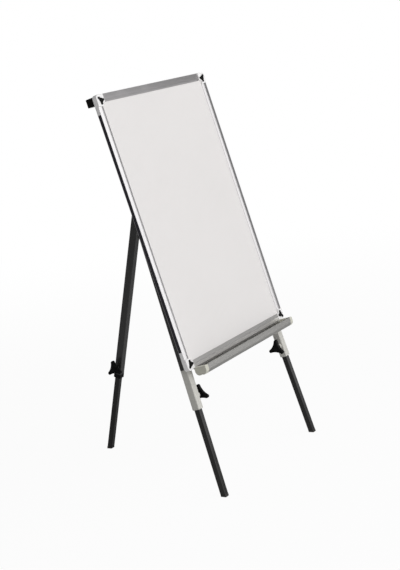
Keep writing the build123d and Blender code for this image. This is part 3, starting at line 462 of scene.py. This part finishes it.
SPLAY = math.radians(2.5)
REAR_LEAN = math.radians(17.0)
LEG_TOP = {
    "left": np.array([-0.316611, -0.264330, 0.447863]),
    "right": np.array([0.316611, -0.264330, 0.447863]),
    "rear": np.array([0.0, -0.0489665, 1.369021]),
}
BRACKET_SCREW_LENGTH = 6.4
BRACKET_SCREW_PLACE = (42.5, 11.0, 16.5)
HINGE_EAR = 18.0
HINGE_BOLT_RADIUS = 4.0
HINGE_BOLT_END = 26.5
HINGE_HEAD_HEIGHT = 5.0
HINGE_HEAD_RADIUS = 7.0
HINGE_HEAD_ROUND = 2.5
HINGE_SOCKET_DEPTH = 2.4
HINGE_SOCKET_CORNER = 2.9
HINGE_THREAD_PITCH = 1.25
HINGE_THREAD_DEPTH = 0.25
HINGE_NUT_END = 24.5
HINGE_NUT_CORNER = 7.0
HINGE_NUT_FACE = 6.3
HINGE_NUT_CHAMFER = 0.5
HINGE_NUT_HOLE = 4.05
HINGE_NUT_HOLE_MOUTH = 4.5
HINGE_NUT_HOLE_CHAMFER = 0.3


def leg_axes(leg):
    """Directions across a leg, up it and to its front."""
    if leg == "rear":
        across, up = BOARD_ACROSS, np.array([0.0, -math.sin(REAR_LEAN), math.cos(REAR_LEAN)])
    else:
        turn = SPLAY if leg == "left" else -SPLAY
        up = math.cos(turn) * BOARD_UP + math.sin(turn) * BOARD_ACROSS
        across = math.cos(turn) * BOARD_ACROSS - math.sin(turn) * BOARD_UP
    return across, up, np.cross(across, up)


def leg_place(leg, place_mm, axes, rings):
    """Rings at a place of a leg, in millimetres across it, up it and to its front."""
    return place(LEG_TOP[leg] + 0.001 * np.array(place_mm) @ np.stack(leg_axes(leg)), axes, rings)


def hexagon(corner_radius):
    """Radii of a hexagon's outline at the spokes: r cos 30 / cos(w mod 60 - 30)."""
    turn = np.arange(SPOKES) * 2 * math.pi / SPOKES
    return corner_radius * math.cos(math.pi / 6) / np.cos(turn % (math.pi / 3) - math.pi / 6)


def hinge_bolt_rings():
    """Bolt along a: hexagon socket, button head, shank and a thread whose ridge winds round its end."""
    face = -HINGE_EAR - HINGE_HEAD_HEIGHT
    socket = [
        (face + HINGE_SOCKET_DEPTH, hexagon(HINGE_SOCKET_CORNER)),
        (face + 0.1, hexagon(HINGE_SOCKET_CORNER + 0.1)),
        (face, HINGE_SOCKET_CORNER + 0.5),
    ]
    rounding = np.linspace(0.0, math.pi / 2, 8)[:, None]
    button_along = face + HINGE_HEAD_ROUND * (1.0 - np.cos(rounding))
    button_radius = HINGE_HEAD_RADIUS - HINGE_HEAD_ROUND * (1.0 - np.sin(rounding))
    shank = [
        (-HINGE_EAR, HINGE_HEAD_RADIUS),
        (-HINGE_EAR, HINGE_BOLT_RADIUS),
        (HINGE_NUT_END - 0.1, HINGE_BOLT_RADIUS),
    ]
    thread_along = np.linspace(HINGE_NUT_END, HINGE_BOLT_END - 0.3, 12)[:, None]
    winding = np.cos(2 * math.pi * (thread_along / HINGE_THREAD_PITCH - np.arange(SPOKES) / SPOKES))
    stack = [rings_about(along, radius)[None] for along, radius in socket]
    stack.append(rings_about(button_along, button_radius))
    stack += [rings_about(along, radius)[None] for along, radius in shank]
    stack.append(rings_about(thread_along, HINGE_BOLT_RADIUS - HINGE_THREAD_DEPTH * (1.0 - winding)))
    stack.append(rings_about(HINGE_BOLT_END, HINGE_BOLT_RADIUS - 0.8)[None])
    return np.concatenate(stack)


def hinge_nut_rings():
    """Nut on the bolt: a hexagon whose corners are turned off at both faces, and its hole."""
    full = hexagon(HINGE_NUT_CORNER)
    turned = np.minimum(full, HINGE_NUT_FACE)
    profile = [
        (HINGE_EAR, turned),
        (HINGE_EAR + HINGE_NUT_CHAMFER, full),
        (HINGE_NUT_END - HINGE_NUT_CHAMFER, full),
        (HINGE_NUT_END, turned),
        (HINGE_NUT_END, HINGE_NUT_HOLE_MOUTH),
        (HINGE_NUT_END - HINGE_NUT_HOLE_CHAMFER, HINGE_NUT_HOLE),
        (HINGE_EAR + HINGE_NUT_HOLE_CHAMFER, HINGE_NUT_HOLE),
        (HINGE_EAR, HINGE_NUT_HOLE_MOUTH),
        (HINGE_EAR, turned),
    ]
    return np.stack([rings_about(along, radius) for along, radius in profile])


bracket_rings = []
for leg, side in (("left", 1.0), ("right", -1.0)):
    across, up, front = leg_axes(leg)
    screw_place = np.array([side, 1.0, 1.0]) * BRACKET_SCREW_PLACE
    for rings in pan_screw(**SMALL_SCREW, shank_length=BRACKET_SCREW_LENGTH):
        bracket_rings.append(leg_place(leg, screw_place, (-front, across, up), rings))
skin("bracket_screw_set", "stand", "zinc_screw", zinc_plate, "bracket_screws", *bracket_rings)
rear_axes = leg_axes("rear")
hinge_skins = {"hinge_bolt": hinge_bolt_rings(), "hinge_nut": hinge_nut_rings()}
for name, rings in hinge_skins.items():
    placed = leg_place("rear", (0.0, 0.0, 0.0), rear_axes, rings)
    skin(name + "_turned", "stand", "zinc_screw", zinc_plate, name, placed)


# The clamp knobs. One black moulding with three rounded wings and shallow webs, on a short hub. Its face is
# sunk inside a rim and rises to a boss over the screw. Each stands at the turn where it was last tightened.
# KNOBS holds each one's clamp axis, the side that it faces, where its hub starts and its turn in degrees.

KNOB_TIP_REACH = 34.0
KNOB_TIP_RADIUS = 6.5
KNOB_WEB_REACH = 15.5
KNOB_TIP_SPOKES = 16
KNOB_WEB_SPOKES = 20
KNOB_THICKNESS = 13.0
KNOB_HUB_LENGTH = 9.5
KNOB_HUB_RADIUS = 9.5
KNOB_HUB_EDGE = 0.8
KNOB_HUB_ROOT = ((-0.4, 0.0), (0.0, 0.5))
KNOB_BACK_EDGE = ((0.0, 1.0), (0.3, 0.3), (1.0, 0.0))
KNOB_FILLET = 2.5
KNOB_FACE_RIM = ((0.0, 3.6), (0.3, 4.0), (1.4, 4.6))
KNOB_BOSS = ((1.6, 9.6), (1.4, 8.6), (0.5, 8.2), (0.3, 7.8))
KNOBS = {
    "left": ((0.0, -95.0, 0.0), 1.0, 25.1, 0.0),
    "right": ((0.0, -95.0, 0.0), -1.0, 25.1, 16.0),
    "rear": ((0.0, -1071.0, 0.0), -1.0, 22.1, -22.0),
}


def turned_by(degrees):
    """Matrix that turns rows of points in a plane by an angle."""
    angle = math.radians(degrees)
    return np.array([[math.cos(angle), math.sin(angle)], [-math.sin(angle), math.cos(angle)]])


def knob_outline():
    """Points of the wings' outline and its outward normals: tip arcs joined by tangent concave web arcs."""
    arm, gap = KNOB_TIP_REACH - KNOB_TIP_RADIUS, KNOB_WEB_REACH - KNOB_TIP_RADIUS
    web_centre = (arm**2 - gap**2) / (arm - 2 * gap)
    web_radius = web_centre - KNOB_WEB_REACH
    start = math.atan2(web_centre * math.sin(math.pi / 3), web_centre / 2 - arm)
    tip = np.linspace(-start, start, KNOB_TIP_SPOKES)
    web_start = math.atan2(-math.sin(start), -math.cos(start)) - math.pi / 3
    web_end = -math.pi - web_start - math.pi
    web = np.linspace(web_start, web_end, KNOB_WEB_SPOKES)[1:-1] + math.pi / 3
    tips = np.stack([arm + KNOB_TIP_RADIUS * np.cos(tip), KNOB_TIP_RADIUS * np.sin(tip)], axis=-1)
    centre = web_centre * np.array([0.5, math.sin(math.pi / 3)])
    webs = centre + web_radius * np.stack([np.cos(web), np.sin(web)], axis=-1)
    points = np.vstack([tips, webs])
    normals = np.vstack([np.stack([np.cos(tip), np.sin(tip)], -1), -np.stack([np.cos(web), np.sin(web)], -1)])
    turns = [turned_by(wing * 120.0) for wing in range(3)]
    return np.vstack([points @ turn for turn in turns]), np.vstack([normals @ turn for turn in turns])


def knob_rings(hub_start, turn):
    """Knob along a: round hub, small back edge, rounded front rim, sunk face and boss. A ring is P - d N on
    the outline P with normals N, or r P / |P| on the round parts. Tables hold steps along a, then d or r."""
    points, normals = knob_outline()
    ray = points / np.linalg.norm(points, axis=1, keepdims=True)
    wings = hub_start + KNOB_HUB_LENGTH
    front = wings + KNOB_THICKNESS
    profile = [
        (hub_start, ray * (KNOB_HUB_RADIUS - KNOB_HUB_EDGE)),
        (hub_start + KNOB_HUB_EDGE, ray * KNOB_HUB_RADIUS),
    ]
    profile += [(wings + step, ray * (KNOB_HUB_RADIUS + flare)) for step, flare in KNOB_HUB_ROOT]
    profile += [(wings + step, points - inset * normals) for step, inset in KNOB_BACK_EDGE]
    for t in np.radians((0.0, 15.0, 30.0, 45.0, 60.0, 75.0, 90.0)):
        inset = KNOB_FILLET * (1.0 - math.cos(t))
        profile.append((front - KNOB_FILLET * (1.0 - math.sin(t)), points - inset * normals))
    profile += [(front - depth, points - inset * normals) for depth, inset in KNOB_FACE_RIM]
    profile += [(front - depth, ray * radius) for depth, radius in KNOB_BOSS]
    turned = turned_by(turn)
    return np.stack([np.column_stack([np.full(len(flat), along), flat @ turned]) for along, flat in profile])


for leg, (clamp, facing, hub_start, turn) in KNOBS.items():
    across, up, front = leg_axes(leg)
    rings = leg_place(leg, clamp, (facing * across, up, front), knob_rings(hub_start, turn))
    skin(leg + "_knob_moulding", leg + "_clamp", "black_plastic", black_moulding, leg + "_knob", rings)


# The floor and the light: one pale floor, a white surround, a large soft lamp in front and a small one low
# at the right. The camera stands in front of the easel's left side, as in the photograph, and is rolled a
# little. The floor and the room are white to the camera and give less light than they show, and the floor
# fades to plain white far away.

WHITE = (1.0, 1.0, 1.0, 1.0)
ROOM_LIGHT = 0.25
FLOOR_HALF = 30.0
FLOOR_LEVEL = -0.0005
FLOOR_TONE = 0.82
FLOOR_WHITE_NEAR = 0.95
FLOOR_FADE = (1.2, 5.0)


def shading(tree, kind, sockets):
    """A node of a tree with its sockets set or linked."""
    made = tree.nodes.new(kind)
    for key, value in sockets.items():
        if isinstance(value, bpy.types.NodeSocket):
            tree.links.new(value, made.inputs[key])
        else:
            made.inputs[key].default_value = value
    return made


world = bpy.data.worlds.new("surround")
bpy.context.scene.world = world
world.use_nodes = True
tree = world.node_tree
seen = shading(tree, "ShaderNodeLightPath", {}).outputs["Is Camera Ray"]
dim = shading(tree, "ShaderNodeBackground", {"Color": WHITE, "Strength": ROOM_LIGHT})
white = shading(tree, "ShaderNodeBackground", {"Color": WHITE, "Strength": 1.0})
mix = shading(tree, "ShaderNodeMixShader", {0: seen, 1: dim.outputs[0], 2: white.outputs[0]})
tree.links.new(mix.outputs[0], tree.nodes["World Output"].inputs["Surface"])

bpy.ops.mesh.primitive_plane_add(size=2 * FLOOR_HALF, location=(0.0, 0.0, FLOOR_LEVEL))
floor = bpy.context.object
floor.name = "floor"
pale = Finish("pale_floor", Specular_IOR_Level=0.0)
position = pale.node("ShaderNodeTexCoord", output="Object")
distance = pale.node("ShaderNodeVectorMath", {"operation": "LENGTH"}, {0: position}, "Value")
fade = pale.ramp(distance, *FLOOR_FADE, FLOOR_WHITE_NEAR, 1.0)
grain = pale.noise(0.02, detail=2.0)
pale.paint(pale.tint(grain, (FLOOR_TONE,) * 3, (FLOOR_TONE + 0.01,) * 3), 0.9 + grain * 0.02)
share = pale.node("ShaderNodeLightPath", output="Is Camera Ray") * fade
glow = pale.node("ShaderNodeEmission", None, {"Color": WHITE, "Strength": 1.0})
matt = Wire(pale, pale.shader.outputs[0])
mixed = pale.node("ShaderNodeMixShader", None, {0: share, 1: matt, 2: glow})
pale.tree.links.new(mixed.socket, pale.tree.nodes["Material Output"].inputs["Surface"])
floor.data.materials.append(pale.material)


def lamp(name, place, aim, width, height, power):
    """Soft rectangular lamp that looks at a point."""
    light = bpy.data.lights.new(name, "AREA")
    light.shape = "RECTANGLE"
    light.size = width
    light.size_y = height
    light.energy = power
    made = bpy.data.objects.new(name, light)
    bpy.context.scene.collection.objects.link(made)
    made.location = place
    made.rotation_euler = (Vector(aim) - Vector(place)).to_track_quat("-Z", "Y").to_euler()


lamp("key", (0.3, -5.2, 2.9), (0.0, 0.0, 0.8), width=9.0, height=7.6, power=353.0)
lamp("low_side", (3.3, -2.65, 0.25), (0.0, -0.3, 0.25), width=1.6, height=0.5, power=1.6)

PHOTO_WIDTH = 400
PHOTO_HEIGHT = 570
FOCAL_PIXELS = 1306.74
PRINCIPAL = (200.75, 280.14)
CAMERA_PLACE = (-3.9365, -2.7662, 1.6832)
CAMERA_AZIMUTH = math.radians(-56.552)
CAMERA_ELEVATION = math.radians(11.835)
CAMERA_ROLL = math.radians(-7.558)

back = Vector(
    (
        math.sin(CAMERA_AZIMUTH) * math.cos(CAMERA_ELEVATION),
        -math.cos(CAMERA_AZIMUTH) * math.cos(CAMERA_ELEVATION),
        math.sin(CAMERA_ELEVATION),
    )
)
level = Vector((math.cos(CAMERA_AZIMUTH), math.sin(CAMERA_AZIMUTH), 0.0))
upright = back.cross(level)
right = math.cos(CAMERA_ROLL) * level + math.sin(CAMERA_ROLL) * upright
top = math.cos(CAMERA_ROLL) * upright - math.sin(CAMERA_ROLL) * level
eye = bpy.data.cameras.new("eye")
eye.sensor_width = 36.0
eye.lens = FOCAL_PIXELS * eye.sensor_width / PHOTO_HEIGHT
eye.shift_x = (PHOTO_WIDTH / 2 - PRINCIPAL[0]) / PHOTO_HEIGHT
eye.shift_y = (PRINCIPAL[1] - PHOTO_HEIGHT / 2) / PHOTO_HEIGHT
eye.clip_end = 200.0
camera = bpy.data.objects.new("camera", eye)
bpy.context.scene.collection.objects.link(camera)
camera.matrix_world = Matrix.Translation(CAMERA_PLACE) @ Matrix((right, top, back)).transposed().to_4x4()
bpy.context.scene.camera = camera
bpy.context.scene.view_settings.view_transform = "Standard"
